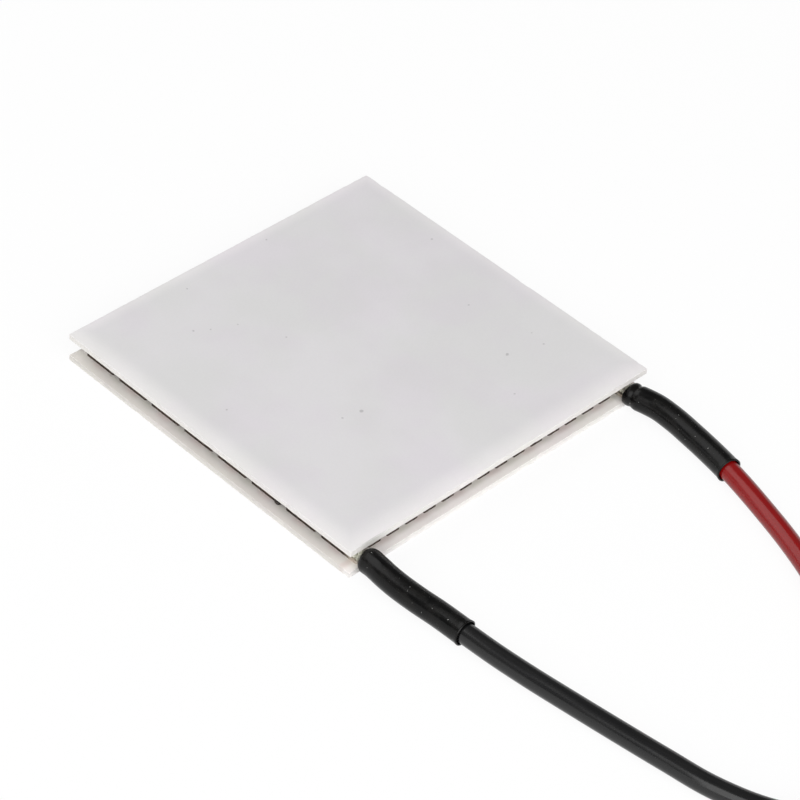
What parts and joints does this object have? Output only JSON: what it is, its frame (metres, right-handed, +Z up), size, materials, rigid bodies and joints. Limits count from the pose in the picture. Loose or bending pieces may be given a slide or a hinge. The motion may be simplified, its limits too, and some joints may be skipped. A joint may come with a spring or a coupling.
{
  "type": "thermoelectric cooling module",
  "caption": "Flat square thermoelectric cooling module: semiconductor pellets and copper tabs between white ceramic plates, with short sleeved leads at its corners.",
  "frame": {"origin": "centre of the hot plate's outer face, which it lies on", "axes": "+Z up, out of the cold plate; -Y towards the side that the leads leave; +X towards the red lead's corner"},
  "size_m": [0.0515, 0.0973, 0.0033],
  "materials": {
    "alumina": "satin",
    "p_pellet": "satin",
    "n_pellet": "satin",
    "copper_tab": "matte",
    "solder": "satin",
    "tinned_copper": "satin",
    "black_pvc": "satin",
    "red_pvc": "satin",
    "shrink_sleeve": "satin"
  },
  "bodies": {
    "root": {"hot_plate": "alumina", "cold_plate": "alumina", "p_pellets_01": "p_pellet", "p_pellets_02": "p_pellet", "p_pellets_03": "p_pellet", "p_pellets_04": "p_pellet", "p_pellets_05": "p_pellet", "p_pellets_06": "p_pellet", "p_pellets_07": "p_pellet", "p_pellets_08": "p_pellet", "p_pellets_09": "p_pellet", "p_pellets_10": "p_pellet", "p_pellets_11": "p_pellet", "p_pellets_12": "p_pellet", "p_pellets_13": "p_pellet", "p_pellets_14": "p_pellet", "p_pellets_15": "p_pellet", "p_pellets_16": "p_pellet", "n_pellets_01": "n_pellet", "n_pellets_02": "n_pellet", "n_pellets_03": "n_pellet", "n_pellets_04": "n_pellet", "n_pellets_05": "n_pellet", "n_pellets_06": "n_pellet", "n_pellets_07": "n_pellet", "n_pellets_08": "n_pellet", "n_pellets_09": "n_pellet", "n_pellets_10": "n_pellet", "n_pellets_11": "n_pellet", "n_pellets_12": "n_pellet", "n_pellets_13": "n_pellet", "n_pellets_14": "n_pellet", "n_pellets_15": "n_pellet", "n_pellets_16": "n_pellet", "hot_tabs_01": "copper_tab", "hot_tabs_02": "copper_tab", "hot_tabs_03": "copper_tab", "hot_tabs_04": "copper_tab", "hot_tabs_05": "copper_tab", "hot_tabs_06": "copper_tab", "hot_tabs_07": "copper_tab", "hot_tabs_08": "copper_tab", "cold_tabs_01": "copper_tab", "cold_tabs_02": "copper_tab", "cold_tabs_03": "copper_tab", "cold_tabs_04": "copper_tab", "cold_tabs_05": "copper_tab", "cold_tabs_06": "copper_tab", "cold_tabs_07": "copper_tab", "cold_tabs_08": "copper_tab", "black_terminal_tab": "copper_tab", "red_terminal_tab": "copper_tab", "black_solder_joint": "solder", "red_solder_joint": "solder", "black_conductor": "tinned_copper", "red_conductor": "tinned_copper", "black_insulation": "black_pvc", "red_insulation": "red_pvc", "black_sleeve": "shrink_sleeve", "red_sleeve": "shrink_sleeve"}
  },
  "joints": []
}
